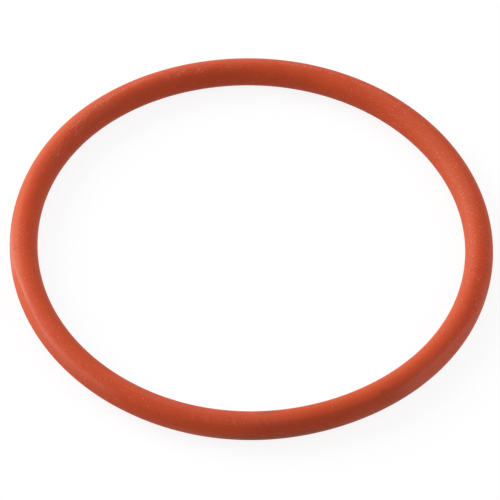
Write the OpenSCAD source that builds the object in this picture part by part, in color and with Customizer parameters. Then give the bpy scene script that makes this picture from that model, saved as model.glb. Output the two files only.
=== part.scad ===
// Silicone o-ring: a closed ring of round section, moulded in one piece.
// It is compression moulded between two plates that part at a slant across the section,
// so its mould lines keep clear of the innermost, outermost, top and bottom circles that seal.
// The ring lies flat. Its axis is Z, and the origin is its centre, halfway up the section.

/* [Ring] */
// Inside diameter of the relaxed ring
inside_d = 53.57; // [20:0.01:150]
// Diameter of the round section
section_d = 3.53; // [1.5:0.01:8]

/* [Mould line] */
// Slant of the parting plane, in degrees up from the outermost point of the section
parting_angle = 48; // [30:1:60]
// Width of the bead of trimmed flash that is left along the mould line
flash_w = 0.17; // [0.12:0.01:0.4]
// Height of that bead above the round section
flash_h = 0.04; // [0.01:0.01:0.05]

/* [Hidden] */

// Smooth arcs for the ring and its section
$fn = 180;

// Radius of the section, and of the circle that the section's centre runs round
section_r = section_d / 2;
centreline_r = inside_d / 2 + section_r;

// The parting plane leaves the section at the outer shoulder and, straight across it, underneath
bead_angles = [parting_angle, parting_angle + 180];

// One bead of flash in the section's plane, sunk in the section so that only its crown stands out
module flash_bead(angle)
    rotate(angle)
        translate([section_r + flash_h - flash_w / 2, 0])
            circle(d = flash_w);

// The section as the mould leaves it, about its own centre
module moulded_section() {
    circle(r = section_r);
    for (angle = bead_angles)
        flash_bead(angle);
}

module o_ring()
    color("#C2502F")
        rotate_extrude()
            translate([centreline_r, 0])
                moulded_section();

o_ring();
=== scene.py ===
# %% [markdown]
# # A silicone o-ring
# This lesson dresses one small sealing ring, about 60 mm across, moulded from brick-red silicone.
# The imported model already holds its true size, so the script begins by loading that model and reads
# the ring's size from it. Lengths in Blender are metres, and the ring lies flat, with Z as its axis.

# %% Load the frame
import math

import bpy
from mathutils import Matrix, Vector


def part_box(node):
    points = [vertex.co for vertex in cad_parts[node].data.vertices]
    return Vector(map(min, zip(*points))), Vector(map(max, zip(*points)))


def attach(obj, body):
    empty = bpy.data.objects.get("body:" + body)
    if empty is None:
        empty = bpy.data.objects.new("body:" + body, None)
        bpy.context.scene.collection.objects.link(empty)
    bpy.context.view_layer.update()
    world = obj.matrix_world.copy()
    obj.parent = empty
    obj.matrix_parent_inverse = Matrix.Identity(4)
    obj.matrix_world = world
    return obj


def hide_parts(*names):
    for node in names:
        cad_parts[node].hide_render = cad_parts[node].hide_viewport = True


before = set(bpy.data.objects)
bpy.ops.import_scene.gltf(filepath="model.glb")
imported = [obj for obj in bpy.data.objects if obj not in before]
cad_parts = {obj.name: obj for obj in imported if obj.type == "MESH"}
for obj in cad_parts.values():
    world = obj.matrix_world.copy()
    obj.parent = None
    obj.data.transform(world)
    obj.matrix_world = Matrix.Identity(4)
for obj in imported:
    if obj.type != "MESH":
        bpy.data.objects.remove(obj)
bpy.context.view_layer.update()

# %% [markdown]
# ## Sizes
# A ring of round section needs two sizes: how thick its section is, and how wide a circle the middle
# of that section runs round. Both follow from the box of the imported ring. The circle is then drawn
# about a tenth of a millimetre small, which leaves room inside the true size for what is pushed
# outwards later. The mould line has its own three values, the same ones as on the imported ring.

# %% Sizes of the ring
MM = 0.001
ring_low, ring_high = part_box("o_ring")
section_r = (ring_high.z - ring_low.z) / 2
ROOM_TO_BULGE = 0.092 * MM
ring_r = ring_high.x - section_r - ROOM_TO_BULGE
PARTING_ANGLE = 48
FLASH_WIDTH = 0.17 * MM
FLASH_HEIGHT = 0.04 * MM
print(f"section {2 * section_r / MM:.2f} mm, inside diameter {2 * (ring_r - section_r) / MM:.2f} mm")

# %% [markdown]
# ## A place on the skin
# Everything that is drawn or pushed on this ring is easiest to place with two angles. The azimuth goes
# round the ring, from 0 at +X, through 90 at the back, to 270 at the front. The section angle goes
# round its section, from 0 at the outermost point, over 90 at the top, to 180 at the hole.

# %% Two angles for every point
def azimuth_of(point):
    return math.degrees(math.atan2(point.y, point.x)) % 360


def section_angle_of(point):
    return math.degrees(math.atan2(point.z, math.hypot(point.x, point.y) - ring_r)) % 360


def apart(angle, other):
    """The shortest way from one angle to another, in degrees."""
    return abs((angle - other + 180) % 360 - 180)


print("the top of the section is at", section_angle_of(Vector((ring_r, 0, section_r))))

# %% [markdown]
# ## The moulding
# The ring is one solid of silicone, pressed between two plates. It could be drawn as a circle and swept
# with a Screw modifier, or spun in edit mode, but a torus is the same sweep in one step. Its section
# gets 60 sides, because then one line of its points lies at exactly 48 degrees, where the plates part.

# %% Sweep the section round the ring
SIDES_ROUND_RING = 240
SIDES_ROUND_SECTION = 60
bpy.ops.object.select_all(action="DESELECT")
bpy.ops.mesh.primitive_torus_add(
    major_radius=ring_r,
    minor_radius=section_r,
    major_segments=SIDES_ROUND_RING,
    minor_segments=SIDES_ROUND_SECTION,
)
ring = bpy.context.object
ring.name = "o_ring_moulding"
ring.data.name = "o_ring_moulding"
print("swept ring:", len(ring.data.polygons), "faces")

# %% [markdown]
# ## Choosing points
# Edit mode works on what is selected. This helper selects the points that pass a test on their place,
# and nothing else, so each later step can say in one line what it works on.

# %% Select by place
LINE_REACH = 0.5


def select_points(wanted):
    bpy.ops.object.mode_set(mode="EDIT")
    bpy.ops.mesh.select_mode(type="VERT")
    bpy.ops.mesh.select_all(action="DESELECT")
    bpy.ops.object.mode_set(mode="OBJECT")
    for vertex in ring.data.vertices:
        vertex.select = wanted(vertex.co)
    bpy.ops.object.mode_set(mode="EDIT")
    return ring.data.total_vert_sel


def on_mould_line(point):
    angle = section_angle_of(point)
    return min(apart(angle, PARTING_ANGLE), apart(angle, PARTING_ANGLE + 180)) < LINE_REACH


print("points on the mould line:", select_points(on_mould_line))

# %% [markdown]
# ## The mould line
# Where the plates meet, a film of silicone squeezes out. It is trimmed off, and a bead thinner than a
# hair stays. A bump in the material could fake it, but only real geometry shows in the outline and
# catches light from every side. So the line of points at 48 degrees is bevelled into a narrow strip as
# wide as the bead, and so is the line straight across the section, underneath.

# %% Bevel the line into a strip
bpy.ops.mesh.select_mode(type="EDGE")
bpy.ops.mesh.bevel(offset=FLASH_WIDTH / 2, offset_type="OFFSET", segments=2, profile=0.5, affect="EDGES")
bpy.ops.object.mode_set(mode="OBJECT")
print("with its mould line:", len(ring.data.polygons), "faces")

# %% [markdown]
# The middle of the strip is then lifted along the skin's own normals. The trimming was close and not
# even: at the left and at the front right six tenths of the bead's full height are left, and
# elsewhere a quarter. Each of the two proud stretches is lifted in three nested steps, so that it
# fades in and out.

# %% Lift the bead
FLUSH_SHARE = 0.25
PROUD_SHARE = 0.6
LIFT_STEPS = 3
# Azimuth of the middle of each stretch, and half its length, in degrees
PROUD_STRETCHES = [(200, 16), (324, 12)]


def lift_crown(height, where=lambda point: True):
    select_points(lambda point: on_mould_line(point) and where(point))
    bpy.ops.transform.shrink_fatten(value=height)
    bpy.ops.object.mode_set(mode="OBJECT")


lift_crown(FLUSH_SHARE * FLASH_HEIGHT)
for middle, half_length in PROUD_STRETCHES:
    for step in range(LIFT_STEPS):
        reach = half_length * (1 - step / (2 * LIFT_STEPS))
        lift_crown(
            (PROUD_SHARE - FLUSH_SHARE) * FLASH_HEIGHT / LIFT_STEPS,
            lambda point: apart(azimuth_of(point), middle) < reach,
        )
crown = max(
    math.hypot(math.hypot(v.co.x, v.co.y) - ring_r, v.co.z) - section_r for v in ring.data.vertices
)
print(f"the bead stands {crown / MM:.3f} mm proud")

# %% [markdown]
# ## Not quite round
# A soft ring never lies as a true circle. This one is pressed in at the front right and bulges at the
# back left by a fifth of a millimetre, and half as much at the right, which the eye takes in without
# knowing why. A lattice could do it. Proportional editing needs no second object: the points at one
# place are moved straight in or out, and their neighbours follow less and less, up to the given reach.

# %% Push the ring out of round
# Degrees either way of a push's middle, within which its first points lie
PUSH_START = 1
# Azimuth of the middle of each push, how far round it reaches in degrees, and how far out it goes
PUSHES = [
    (346, 56, 0.107 * MM),
    (295, 41, -0.20 * MM),
    (142, 46, 0.23 * MM),
    (92, 40, -0.03 * MM),
]
for middle, reach, outwards in PUSHES:
    turn = math.radians(middle)
    moved = select_points(lambda point: apart(azimuth_of(point), middle) < PUSH_START)
    bpy.ops.transform.translate(
        value=(outwards * math.cos(turn), outwards * math.sin(turn), 0),
        use_proportional_edit=True,
        proportional_edit_falloff="SMOOTH",
        proportional_size=ring_r * math.radians(reach),
    )
    bpy.ops.object.mode_set(mode="OBJECT")
    print(f"pushed {outwards / MM:+.3f} mm at azimuth {middle}, starting from {moved} points")

# %% [markdown]
# ## The finished skin
# One level of subdivision rounds the bead and the facets of the sweep. A displacement by a soft cloud,
# a hundredth of a millimetre deep, takes away the perfect regularity that no rubber moulding has. Its
# middle level is the cloud's brightest, so it only pushes inwards, and the ring never grows past its
# true size.

# %% Round and weather the skin
SKIN_DEPTH = 0.01 * MM
SKIN_GRAIN = 2.5 * MM


def apply_modifier(kind, name, **settings):
    modifier = ring.modifiers.new(name, kind)
    for setting, value in settings.items():
        setattr(modifier, setting, value)
    bpy.ops.object.modifier_apply(modifier=name)


apply_modifier("SUBSURF", "round_facets", levels=1, render_levels=1)
skin_waves = bpy.data.textures.new("skin_waves", "CLOUDS")
skin_waves.noise_scale = SKIN_GRAIN
apply_modifier("DISPLACE", "skin_waves", texture=skin_waves, strength=SKIN_DEPTH, mid_level=1.0)
bpy.ops.object.shade_smooth()
print("finished ring:", len(ring.data.polygons), "faces")

# %% [markdown]
# ## Wiring a material in Python
# A material is a graph of nodes, and its arithmetic is easier to read as ordinary expressions. This
# class wraps one output socket. Plus, minus, times and the like on it add Math nodes, and node() adds
# a node of any other kind to the same graph: its settings first, then the values or links it takes.

# %% A socket that does arithmetic
class Wire:
    def __init__(self, socket):
        self.socket = socket

    def node(self, kind, settings=None, inputs=None, output=0):
        tree = self.socket.id_data
        made = tree.nodes.new(kind)
        for name, value in (settings or {}).items():
            setattr(made, name, value)
        for name, value in (inputs or {}).items():
            if isinstance(value, Wire):
                tree.links.new(value.socket, made.inputs[name])
            else:
                made.inputs[name].default_value = value
        return Wire(made.outputs[output]) if made.outputs else None

    def maths(self, operation, first, second=0.0):
        return self.node("ShaderNodeMath", {"operation": operation}, {0: first, 1: second})

    def __add__(self, other):
        return self.maths("ADD", self, other)

    def __radd__(self, other):
        return self.maths("ADD", other, self)

    def __sub__(self, other):
        return self.maths("SUBTRACT", self, other)

    def __rsub__(self, other):
        return self.maths("SUBTRACT", other, self)

    def __mul__(self, other):
        return self.maths("MULTIPLY", self, other)

    def __rmul__(self, other):
        return self.maths("MULTIPLY", other, self)

    def __abs__(self):
        return self.maths("ABSOLUTE", self)


def fade(value, start, end):
    """0 where value is at start or before it, 1 where it is at end or past it, and smooth between."""
    return value.node(
        "ShaderNodeMapRange",
        {"interpolation_type": "SMOOTHSTEP", "clamp": True},
        {"Value": value, "From Min": start, "From Max": end},
    )


def tint(colour, other, share):
    """colour, turned into other by share. The sockets have numbers, as their names repeat."""
    return share.node("ShaderNodeMix", {"data_type": "RGBA"}, {0: share, 6: colour, 7: other}, output=2)


print("wires are ready")

# %% [markdown]
# ## The two angles again, as wires
# Object coordinates are the place of each point in metres, so the azimuth and the section angle come
# out of them by the same two formulas as before. Marks that belong to one place on the skin use them.

# %% The two angles, for the material
silicone = bpy.data.materials.new("brick_red_silicone")
silicone.use_nodes = True
silicone.node_tree.nodes.clear()
place = Wire(silicone.node_tree.nodes.new("ShaderNodeTexCoord").outputs["Object"])
axes = place.node("ShaderNodeSeparateXYZ", inputs={0: place})
x, y, z = [Wire(socket) for socket in axes.socket.node.outputs]
from_axis = x.maths("SQRT", x * x + y * y)
azimuth = x.maths("ARCTAN2", y, x) * math.degrees(1)
section_angle = x.maths("ARCTAN2", z, from_axis - ring_r) * math.degrees(1)


def count_nodes(after):
    print(f"{after}: {len(silicone.node_tree.nodes)} nodes so far")


count_nodes("two angles")

# %% [markdown]
# A mark is 1 on its own place and fades to 0 round it. A stretch covers some degrees of one angle, and
# is given by its middle, half its length and the softness of its ends. A patch is where a stretch of
# the ring and a stretch of the section cross. A noise breaks a mark up, and is given by how many of
# its features go in a millimetre.

# %% Stretches, patches and noises
def stretch(angle, middle, half_length, soft):
    away = abs(angle.node("ShaderNodeMath", {"operation": "WRAP"}, {0: angle - middle, 1: 180, 2: -180}))
    return fade(away, half_length + soft, half_length)


def patch(round_ring, round_section):
    return stretch(azimuth, *round_ring) * stretch(section_angle, *round_section)


def noise(features_per_mm, detail=2.0, roughness=0.5):
    return place.node(
        "ShaderNodeTexNoise",
        inputs={"Vector": place, "Scale": features_per_mm / MM, "Detail": detail, "Roughness": roughness},
        output="Fac",
    )


print("marks are ready")

# %% [markdown]
# ## Brick-red silicone
# Red iron oxide colours the rubber right through. Its tone drifts a little along the ring, where the
# batch mixed unevenly, and it is mottled in patches of a millimetre or two. Real skin is never one
# flat colour, and these two noises, at two scales, are enough to break it up.

# %% Tone of the rubber
DEEP_RED = (0.555, 0.065, 0.0165, 1)
BRICK_RED = (0.615, 0.072, 0.0185, 1)
drift = fade(noise(0.08), 0.35, 0.65)
mottle = fade(noise(0.6, detail=4, roughness=0.6), 0.3, 0.7)
even = tint(DEEP_RED, BRICK_RED, drift * 0.4 + mottle * 0.6)
count_nodes("tone of the rubber")

# %% [markdown]
# Some stretches are painted in another red, and stand in for light and shade. Painted shade makes the
# red deeper low at the front, at the lower edge in the middle of the front, and inside at the back left,
# and painted light makes it lighter low at the front left. It is a little more orange on the left
# shoulder and inside on the right, painted where the skin is most brightly lit, and it is purer on top
# at the left and on the shoulder and the crown at the right, which is painted shade. Each is a soft
# patch, laid over the ones before it.

# %% Painted light and shade in other reds
PAINTED_SHADE_RED = (0.34, 0.038, 0.011, 1)
PAINTED_LIGHT_RED = (0.70, 0.10, 0.032, 1)
PAINTED_LIT_ORANGE = (0.60, 0.28, 0.045, 1)
PAINTED_SHADE_PURE_RED = (0.56, 0.035, 0.006, 1)
# Painted shade: a deeper red low at the front, along the lower front edge and inside at the back left
shade_low_front = patch((291, 13, 16), (25, 32, 22))
shade_low_middle = patch((276, 8, 14), (-8, 12, 16))
shade_back_inside = patch((125, 22, 30), (150, 28, 30))
with_painted_shade = tint(even, PAINTED_SHADE_RED, 0.5 * shade_low_front + 0.4 * shade_low_middle + 0.3 * shade_back_inside)
# Painted light: a lighter red low at the front left
light_low_left = patch((212, 12, 18), (30, 22, 16))
with_painted_light = tint(with_painted_shade, PAINTED_LIGHT_RED, 0.4 * light_low_left)
# Painted light: a more orange red where the skin is most brightly lit
lit_left_shoulder = patch((168, 20, 25), (44, 14, 20))
lit_right_inside = patch((345, 50, 25), (138, 22, 22))
with_painted_lit_orange = tint(with_painted_light, PAINTED_LIT_ORANGE, 0.10 * lit_left_shoulder + 0.045 * lit_right_inside)
# Painted shade: a purer, darker red on top at the left and at the right
shade_left_top = patch((163, 12, 18), (88, 14, 26))
shade_right_shoulder = patch((332, 7, 9), (58, 6, 9))
shade_right_crown = patch((347, 7, 9), (66, 14, 16))
# The colour from here on holds the painted light and shade above
rubber = tint(with_painted_lit_orange, PAINTED_SHADE_PURE_RED, 0.2 * shade_left_top + 0.34 * shade_right_shoulder + 0.22 * shade_right_crown)
count_nodes("stretches of another red")

# %% [markdown]
# ## Where the mould line runs
# The flash was trimmed by hand, and a loose ring is never free of twist. The pale marks along the
# mould line are partly scuffs and partly a painted highlight, and they wander up and down the section,
# by up to fifteen degrees, while the bead is modelled straight. Their height at every azimuth is the
# parting angle plus three smooth humps, two of which go down. Above the marks is positive, and below
# them negative.

# %% Height above the mould line
# The stretch of the ring that each hump takes, and its height in degrees
HUMPS = [((201, 2, 9), 8), ((208, 24, 14), -4.5), ((345, 4, 14), -15)]
line_height = PARTING_ANGLE
for hump, height in HUMPS:
    line_height = line_height + height * stretch(azimuth, *hump)
above_line = section_angle - line_height
print("humps on the line:", len(HUMPS))

# %% [markdown]
# ## Bloom and painted light
# Moulded silicone is dusted so that it doesn't stick, and some of the powder stays. Where it was rubbed
# in, it is an even film that makes the skin paler and duller. It lies on the outer flank at the front
# right, up to the mould line, where the same pale colour is partly a painted reflection of the sheet. A
# small pale patch at the left, below the start of the line, is a painted highlight, and the film is
# hardly to be seen at the front left. A mask with one edge runs on to the hole, where the section angle
# jumps from 180 to -180, and would end there in a hard line, so on_flank ends it softly underneath.

# %% The even film, with painted reflection and highlight
PALE_BLOOM_AND_HIGHLIGHT = (0.75, 0.45, 0.42, 1)
fine_grain = noise(4.0, detail=3, roughness=0.65)
on_flank = fade(section_angle, -115, -75)
# Powder on the front right flank, partly a painted reflection of the sheet
flank_bloom_and_reflection = 0.075 * stretch(azimuth, 329, 14, 12) * fade(above_line, 6, -4) * on_flank
low_bloom_and_reflection = 0.02 * stretch(azimuth, 306, 6, 10) * fade(section_angle, 64, 36) * on_flank
# A painted highlight at the left, and a faint film at the front left
left_bloom_and_highlight = 0.22 * patch((184.5, 3, 7), (22, 14, 7)) + 0.02 * patch((224, 10, 10), (30, 14, 10))
film_and_painted_light = (flank_bloom_and_reflection + low_bloom_and_reflection + left_bloom_and_highlight) * fade(fine_grain, 0.0, 0.5)
filmed_and_painted = tint(rubber, PALE_BLOOM_AND_HIGHLIGHT, film_and_painted_light)
count_nodes("even film")

# %% [markdown]
# Elsewhere the powder is loose. It gathers in two patches behind, just inside the top, and in thin rims
# near the outline there, and it lies thinly along the crown at the back and the back right. Its crumbs
# are a fifth of a millimetre apart, and a coarser noise leaves gaps in the two patches.

# %% Loose powder
LOOSE_POWDER = (0.85, 0.50, 0.38, 1)
crumbs = fade(noise(5.0, detail=2, roughness=0.6), 0.46, 0.66)
blotches = fade(noise(1.4, detail=4, roughness=0.7), 0.4, 0.62)
patches = patch((143, 9, 8), (102, 18, 8)) + 1.3 * patch((104, 6, 8), (104, 9, 8))
rims = patch((66, 14, 6), (79, 3, 6)) + patch((128, 5, 6), (76, 3, 6))
crown_dust = patch((112, 30, 14), (72, 8, 14)) + 0.7 * patch((35, 20, 12), (92, 6, 12))
powder = 0.20 * (patches * blotches + rims) * crumbs + crown_dust * (0.02 + 0.06 * crumbs)
dusted = tint(filmed_and_painted, LOOSE_POWDER, powder)
count_nodes("loose powder")

# %% [markdown]
# At the very front, a thumb has wiped the powder into a film just inside the top and, outside it, into
# short strokes that run across the section. A noise in one dimension, along the azimuth, makes strokes
# without end, and a patch cuts them short.

# %% Wiped powder
STROKES_PER_DEGREE = 0.9
STROKE_SLANT = 0.02
along = place.node(
    "ShaderNodeTexNoise",
    {"noise_dimensions": "1D"},
    {
        "W": azimuth + STROKE_SLANT * section_angle,
        "Scale": STROKES_PER_DEGREE,
        "Detail": 3.0,
        "Roughness": 0.6,
    },
)
strokes = fade(along, 0.4, 0.62)
thumb_film = patch((256, 16, 16), (106, 10, 16)) * (0.4 + 0.6 * blotches)
thumb_strokes = 0.9 * patch((268, 8, 8), (70, 12, 8)) * strokes
wiped = tint(dusted, PALE_BLOOM_AND_HIGHLIGHT, 0.045 * (thumb_film + thumb_strokes))
count_nodes("wiped powder")

# %% [markdown]
# The marks along the mould line are partly scuffs, where the flash was trimmed, and partly a painted
# highlight. On the left a narrow pale mark of painted highlight shows the start of the line. From there a
# sharp scuff and highlight follows it and thins out upwards over a third of a millimetre, and further on
# it gives way to a soft strip, with a broad and faint one just below. At the front right a fainter scuff
# and highlight runs along the line.

# %% Scuff and painted highlight along the mould line
# Scuffs and a painted highlight along the mould line
scuff_highlight_strength = 0.09 * stretch(azimuth, 203, 8, 12) + 0.03 * stretch(azimuth, 324, 7, 8)
sharp_scuff_highlight = scuff_highlight_strength * fade(above_line, -7, -1) * fade(above_line, 12, 1)
line_start_highlight = 0.10 * stretch(azimuth, 193, 6, 5) * stretch(above_line, -1, 1.5, 3.5)
soft_scuff_highlight = 0.05 * stretch(azimuth, 224, 7, 9) * stretch(above_line, 2, 2, 11)
broad_scuff_highlight = 0.024 * stretch(azimuth, 221, 9, 8) * stretch(above_line, -8, 6, 8)
scuffed_and_highlit = tint(wiped, PALE_BLOOM_AND_HIGHLIGHT, sharp_scuff_highlight + line_start_highlight + soft_scuff_highlight + broad_scuff_highlight)
count_nodes("scuffs")

# %% [markdown]
# ## Grains of powder
# Single grains are bright specks. There are more of them where the skin is busy: at the right and the
# back right most of all, and in some places at the left and the front.

# %% Where the skin is busy
busy_right = stretch(azimuth, 18, 30, 25) + patch((26, 9, 8), (100, 14, 8))
busy_right = busy_right + 0.3 * stretch(azimuth, 340, 15, 15)
busy_left = 0.4 * stretch(azimuth, 210, 22, 25) + 1.2 * patch((223, 3, 4), (27, 7, 4))
busy_front = 0.4 * patch((270, 6, 8), (62, 8, 8))
busy = busy_right + busy_left + busy_front
count_nodes("busy places")

# %% [markdown]
# A Voronoi texture puts one point in each cell, and only the cells whose random colour is high keep
# their grain. The skin cuts each little ball of colour at its own height, so the specks come out in all
# sizes. There are many faint ones under a tenth of a millimetre, and a few bold ones.

# %% Fine and bold grains
GRAIN = (0.88, 0.60, 0.50, 1)
# A grain is full up to its core and gone at its edge, both as shares of its radius
GRAIN_CORE = 0.6
GRAIN_EDGE = 1.25


def grains(cells_per_mm, radius_mm, share, more_where_busy):
    """1 on the grains. Radius is in millimetres, and share is the part of the cells that keeps one."""
    distance = place.node(
        "ShaderNodeTexVoronoi", inputs={"Vector": place, "Scale": cells_per_mm / MM}, output="Distance"
    )
    pick = Wire(distance.socket.node.outputs["Color"])
    chance = pick.node("ShaderNodeSeparateColor", inputs={0: pick})
    keep = fade(chance + more_where_busy * busy, 1.0 - share, 1.05 - share)
    radius_in_cells = radius_mm * cells_per_mm
    return keep * fade(distance, radius_in_cells * GRAIN_EDGE, radius_in_cells * GRAIN_CORE)


specks = 0.2 * grains(5.0, 0.045, 0.22, 0.5) + 0.6 * grains(3.0, 0.05, 0.04, 0.2)
grained = tint(scuffed_and_highlit, GRAIN, specks)
count_nodes("grains")

# %% [markdown]
# ## Dust, painted sheen and painted shade
# Low on the outer flank, a thin pale dust, partly a painted sheen along the lower outline, dulls the
# front of the ring. Two dark marks lie over it: a thin dark line on the inside at the front, and painted
# shade low outside, along the lower edge. A dark mark with a clean edge would look drawn on, so the
# noises that made the grain, the crumbs and the blotches break up all three.

# %% Dust and painted sheen low at the front
DUSTY_SHEEN_RED = (0.56, 0.30, 0.16, 1)
# Pale dust, partly a painted sheen along the lower outline
low_dust_and_sheen = 0.10 * stretch(azimuth, 282, 20, 18) * fade(section_angle, 26, -4) * on_flank
dulled_and_sheened = tint(grained, DUSTY_SHEEN_RED, low_dust_and_sheen * (0.6 + 0.8 * fine_grain))
count_nodes("dust low at the front")

# %% A dark line and painted shade
DARK_MARK_AND_SHADE = (0.13, 0.06, 0.045, 1)
inner_dark_line = 0.64 * patch((275.6, 0.6, 3.2), (136, 12, 26)) * fade(fine_grain, 0.32, 0.68)
# Painted shade low outside, along the lower edge
low_painted_shade = patch((273, 7, 7), (-10, 8, 7)) * (0.1 + 0.9 * fade(crumbs + blotches, 0.7, 1.4))
marked_and_shaded = tint(dulled_and_sheened, DARK_MARK_AND_SHADE, inner_dark_line + 0.4 * low_painted_shade)
count_nodes("smudges")

# %% [markdown]
# Three tiny flaws catch the eye: a short crease across the shoulder just before the line starts, a
# deeper red spot a little further on, and a dark speck near the top at the front right. None of them
# shows in the outline, so they are made in colour alone.

# %% Three tiny flaws
FLAW_RED = (0.42, 0.03, 0.006, 1)
# Stretch of the ring, stretch of the section, and how strong the mark is
FLAWS = [
    ((185.4, 0.05, 0.4), (54, 12, 5), 0.35),
    ((199, 0.5, 0.4), (39, 3, 5), 0.25),
    ((304.7, 0.7, 0.4), (72, 5, 5), 0.4),
]
skin_colour = marked_and_shaded
for round_ring, round_section, strength in FLAWS:
    skin_colour = tint(skin_colour, FLAW_RED, strength * patch(round_ring, round_section))
print("flaws:", len(FLAWS))

# %% [markdown]
# ## Finish
# The skin is matte. Powder makes it duller still, and a fine bump gives it the tooth of a blasted
# mould. What is the same all over is set on the shader itself, and only colour, roughness and the bump
# are wired.

# %% The shader
BARE_ROUGHNESS = 0.51
SILICONE_IOR = 1.41
SPECULAR_LEVEL = 0.28
TOOTH_STRENGTH = 0.3
TOOTH_DEPTH = 0.012 * MM
tooth = place.node(
    "ShaderNodeBump",
    inputs={
        "Strength": TOOTH_STRENGTH,
        "Distance": TOOTH_DEPTH,
        "Height": fine_grain + 0.6 * mottle,
    },
)
shader = place.node(
    "ShaderNodeBsdfPrincipled",
    inputs={
        "Base Color": skin_colour,
        "Roughness": BARE_ROUGHNESS + 0.6 * film_and_painted_light + 0.06 * fine_grain,
        "Normal": tooth,
        "IOR": SILICONE_IOR,
        "Specular IOR Level": SPECULAR_LEVEL,
    },
)
place.node("ShaderNodeOutputMaterial", inputs={"Surface": shader})
ring.data.materials.append(silicone)
count_nodes("silicone")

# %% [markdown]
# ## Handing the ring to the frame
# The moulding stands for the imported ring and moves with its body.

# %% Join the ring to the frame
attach(ring, "root")
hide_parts("o_ring")
print("replaced: o_ring")

# %% [markdown]
# ## The table
# The ring lies on a plain white sheet that runs out of sight. One plane does for it, and its material
# does the rest.

# %% White sheet
SHEET_SIZE = 4.0
bpy.ops.object.select_all(action="DESELECT")
bpy.ops.mesh.primitive_plane_add(size=SHEET_SIZE, location=(0, 0, ring_low.z))
sheet = bpy.context.object
sheet.name = "white_sheet"
print("sheet at", round(sheet.location.z / MM, 3), "mm")

# %% [markdown]
# The sheet bounces light into the ring's lower flank, as paper does. Seen by the camera it is partly
# lit by its own glow, so that it reads as white and still takes the ring's soft shadow. The light path
# tells the two apart.

# %% Paper
PAPER_WHITE = (0.8, 0.8, 0.8, 1)
SHADOW_GREY = (0.15, 0.15, 0.15, 1)
WHITE = (1, 1, 1, 1)
PAPER_GLOW = 0.88
paper = bpy.data.materials.new("white_paper")
paper.use_nodes = True
paper.node_tree.nodes.clear()


def seen_directly(wire):
    """1 for rays from the camera, or by way of gloss or glass, and 0 for the light that bounces."""
    path = wire.node("ShaderNodeLightPath").socket.node.outputs
    rays = [Wire(path[name]) for name in ("Is Camera Ray", "Is Glossy Ray", "Is Transmission Ray")]
    return wire.node("ShaderNodeClamp", inputs={0: rays[0] + rays[1] + rays[2]})


start = Wire(paper.node_tree.nodes.new("ShaderNodeNewGeometry").outputs["Position"])
lit_paper = start.node("ShaderNodeBsdfDiffuse", inputs={"Color": PAPER_WHITE})
shadow_paper = start.node("ShaderNodeBsdfDiffuse", inputs={"Color": SHADOW_GREY})
glow = start.node("ShaderNodeEmission", inputs={"Color": WHITE, "Strength": PAPER_GLOW})
shown_paper = start.node("ShaderNodeAddShader", inputs={0: shadow_paper, 1: glow})
surface = start.node(
    "ShaderNodeMixShader", inputs={0: seen_directly(start), 1: lit_paper, 2: shown_paper}
)
start.node("ShaderNodeOutputMaterial", inputs={"Surface": surface})
sheet.data.materials.append(paper)
print("paper:", len(paper.node_tree.nodes), "nodes")

# %% [markdown]
# ## Light
# A large soft lamp stands low to the left and a little behind. Two weak ones help it: one behind the
# ring shines along its top, and one fills in from the right. The lamps are wide for their distance, so
# shadows are soft.

# %% Lamps
def soft_lamp(name, azimuth_deg, elevation_deg, power, size=0.45, distance=0.8):
    turn, rise = math.radians(azimuth_deg), math.radians(elevation_deg)
    towards = Vector((math.cos(rise) * math.cos(turn), math.cos(rise) * math.sin(turn), math.sin(rise)))
    bpy.ops.object.light_add(type="AREA", location=distance * towards)
    lamp = bpy.context.object
    lamp.name = name
    lamp.rotation_euler = towards.to_track_quat("Z", "Y").to_euler()
    lamp.data.shape = "DISK"
    lamp.data.size = size
    lamp.data.energy = power


soft_lamp("key_lamp", azimuth_deg=155, elevation_deg=22, power=6.15, size=0.7)
soft_lamp("back_lamp", azimuth_deg=110, elevation_deg=38, power=0.85, size=0.6)
soft_lamp("fill_lamp", azimuth_deg=0, elevation_deg=38, power=1.0)

# %% [markdown]
# The rest of the room lights the ring as an even grey, and is white where it is seen, by the same
# light path as the paper.

# %% Room
ROOM_LIGHT = 0.415
room = bpy.data.worlds.new("room")
room.use_nodes = True
room.node_tree.nodes.clear()
direction = Wire(room.node_tree.nodes.new("ShaderNodeTexCoord").outputs["Generated"])
room_light = ROOM_LIGHT + (1 - ROOM_LIGHT) * seen_directly(direction)
backdrop = direction.node("ShaderNodeBackground", inputs={"Color": WHITE, "Strength": room_light})
direction.node("ShaderNodeOutputWorld", inputs={"Surface": backdrop})
bpy.context.scene.world = room
print("room light:", ROOM_LIGHT)

# %% [markdown]
# ## Camera
# The photograph was taken from in front and above, at 51 degrees, from some way off, and the camera
# was turned by a degree and a half about its own line of sight. The lens is as long as that view needs.

# %% Camera
CAMERA_ELEVATION = math.radians(51.27)
CAMERA_DISTANCE = 601.4 * MM
CAMERA_ROLL = math.radians(1.42)
AIM = Vector((-0.129 * MM, 0.395 * MM, ring_low.z))
# Lens and sensor are in millimetres, and the far clip in metres
LENS = 344.95
SENSOR_WIDTH = 36.0
FAR_CLIP = 10.0
camera_data = bpy.data.cameras.new("camera")
camera_data.lens = LENS
camera_data.sensor_width = SENSOR_WIDTH
camera_data.clip_end = FAR_CLIP
camera = bpy.data.objects.new("camera", camera_data)
bpy.context.scene.collection.objects.link(camera)
back_off = Vector((0, -math.cos(CAMERA_ELEVATION), math.sin(CAMERA_ELEVATION)))
camera.matrix_world = (
    Matrix.Translation(AIM + CAMERA_DISTANCE * back_off)
    @ Matrix.Rotation(math.pi / 2 - CAMERA_ELEVATION, 4, "X")
    @ Matrix.Rotation(CAMERA_ROLL, 4, "Z")
)
bpy.context.scene.camera = camera
bpy.context.scene.view_settings.view_transform = "Standard"
print("camera stands at", [round(c / MM, 1) for c in camera.matrix_world.translation], "mm")
